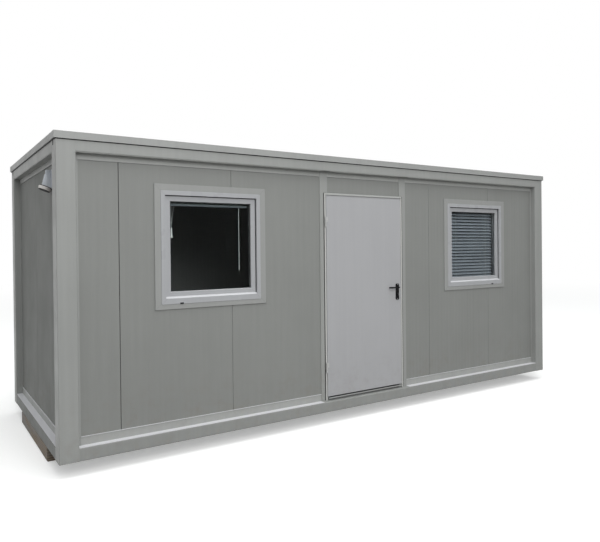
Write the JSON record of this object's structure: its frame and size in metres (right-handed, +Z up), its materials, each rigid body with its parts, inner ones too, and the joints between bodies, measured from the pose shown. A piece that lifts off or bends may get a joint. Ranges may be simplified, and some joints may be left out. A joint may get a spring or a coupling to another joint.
{
  "type": "shipping container cabin",
  "caption": "Site office cabin: folded steel frame, grey sandwich panel walls, blinds in the windows and an outward opening steel door, on timber bearers.",
  "frame": {"origin": "on the ground under the middle of the cabin's frame", "axes": "+X to the right along the front, +Y from the front into the cabin, +Z up"},
  "size_m": [6.111, 2.4646, 2.711],
  "materials": {
    "frame_paint": "satin light grey paint",
    "trim_paint": "satin light grey paint",
    "wall_sheet": "satin grey coated sheet with fine lines",
    "door_paint": "satin pale grey paint",
    "timber": "rough weathered timber",
    "zinc": "galvanised sheet",
    "ceiling": "plain white board",
    "underside": "galvanised sheet",
    "floor": "grey vinyl floor covering",
    "inner_trim": "plain white",
    "threshold": "mill finish",
    "hinge_steel": "galvanised",
    "black_nylon": "black nylon",
    "lock_metal": "satin nickel",
    "inlet_plastic": "light grey moulded plastic",
    "window_trim": "light grey plastic profile",
    "window_plastic": "white plastic profile",
    "glass": "clear double glazing",
    "blind_slats": "pale coated aluminium slats",
    "blind_cord": "white braided cord",
    "cord_fittings": "pale moulded plastic"
  },
  "bodies": {
    "cabin": {"back_wall": "wall_sheet", "bearers": "timber", "blind_cord_fittings": "cord_fittings", "blind_pull_cord": "blind_cord", "blind_slanting_cord": "blind_cord", "bottom_end_rails": "frame_paint", "bottom_side_rails": "frame_paint", "corner_post_back_left": "frame_paint", "corner_post_back_right": "frame_paint", "corner_post_front_left": "frame_paint", "corner_post_front_right": "frame_paint", "door_frame": "door_paint", "door_posts": "trim_paint", "end_wall_tracks": "trim_paint", "floor_board": "floor", "floor_cassette": "underside", "front_wall_left": "wall_sheet", "front_wall_over_door": "wall_sheet", "front_wall_right": "wall_sheet", "hinges_on_frame": "hinge_steel", "inlet_lid": "inlet_plastic", "inner_corner_trims": "inner_trim", "left_wall": "wall_sheet", "left_window_blind": "blind_slats", "left_window_frame": "window_plastic", "left_window_glass": "glass", "left_window_sash": "window_plastic", "left_window_trim": "window_trim", "power_inlet": "inlet_plastic", "right_wall": "wall_sheet", "right_window_blind": "blind_slats", "right_window_frame": "window_plastic", "right_window_glass": "glass", "right_window_sash": "window_plastic", "right_window_trim": "window_trim", "roof_cassette": "ceiling", "roof_corner_caps": "frame_paint", "roof_flashing": "frame_paint", "roof_sheet": "zinc", "side_wall_tracks": "trim_paint", "threshold": "threshold", "top_end_rails": "frame_paint", "top_side_rails": "frame_paint"},
    "door": {"door_leaf": "door_paint", "hinges_on_leaf": "hinge_steel", "handle_plates": "black_nylon", "door_lock": "lock_metal"},
    "lever": {"lever_handles": "black_nylon"}
  },
  "joints": [
    {"name": "door_swing", "type": "hinge", "parent": "cabin", "child": "door", "pos_m": [-0.472, -1.18, 1.32], "axis": [0, 0, -1], "range_deg": [0, 165]},
    {"name": "lever_turn", "type": "hinge", "parent": "door", "child": "lever", "pos_m": [0.491, -1.142, 1.34], "axis": [0, -1, 0], "range_deg": [0, 45], "stiffness_Nm_per_rad": 1.2, "springref_deg": -20.05}
  ]
}
